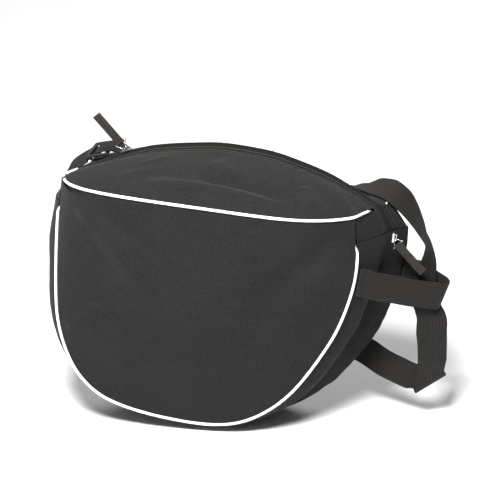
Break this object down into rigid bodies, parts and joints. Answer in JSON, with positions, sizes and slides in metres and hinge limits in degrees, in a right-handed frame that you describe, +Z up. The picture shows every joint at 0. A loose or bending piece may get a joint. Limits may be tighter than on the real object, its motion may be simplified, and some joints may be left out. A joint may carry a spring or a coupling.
{
  "type": "motorcycle helmet bag",
  "caption": "Soft half-moon bag for a full-face helmet, with light piping, a long zip over the top and an adjustable webbing shoulder strap.",
  "frame": {"origin": "middle of the bounding box at the height of the surface on which the bag rests", "axes": "+X to the right along the front panel, -Y towards the viewer in front, +Z up"},
  "size_m": [0.538, 0.22, 0.4281],
  "materials": {
    "shell_cloth": "plain woven polyester, matt",
    "zip_tape": "woven zip tape with a coil edge",
    "piping": "smooth light piping cord",
    "webbing": "ribbed lengthwise webbing",
    "pull_ribbon": "stiff folded ribbon",
    "black_plastic": "moulded, matt",
    "zip_metal": "bright nickel plate"
  },
  "bodies": {
    "root": {"gusset": "shell_cloth", "cap_left_front": "shell_cloth", "cap_left_rear": "shell_cloth", "cap_right_front": "shell_cloth", "cap_right_rear": "shell_cloth", "front_panel": "shell_cloth", "back_panel": "shell_cloth", "tape_front": "zip_tape", "tape_rear": "zip_tape", "top_front": "shell_cloth", "top_rear": "shell_cloth", "piping_front": "piping", "piping_back": "piping", "piping_top_front": "piping", "piping_top_rear": "piping", "triglide": "black_plastic", "shoulder_strap": "webbing", "side_loop": "webbing", "slider_left": "zip_metal", "wire_left": "zip_metal", "pull_left": "pull_ribbon", "slider_right": "zip_metal", "wire_right": "zip_metal", "pull_right": "pull_ribbon"}
  },
  "joints": []
}
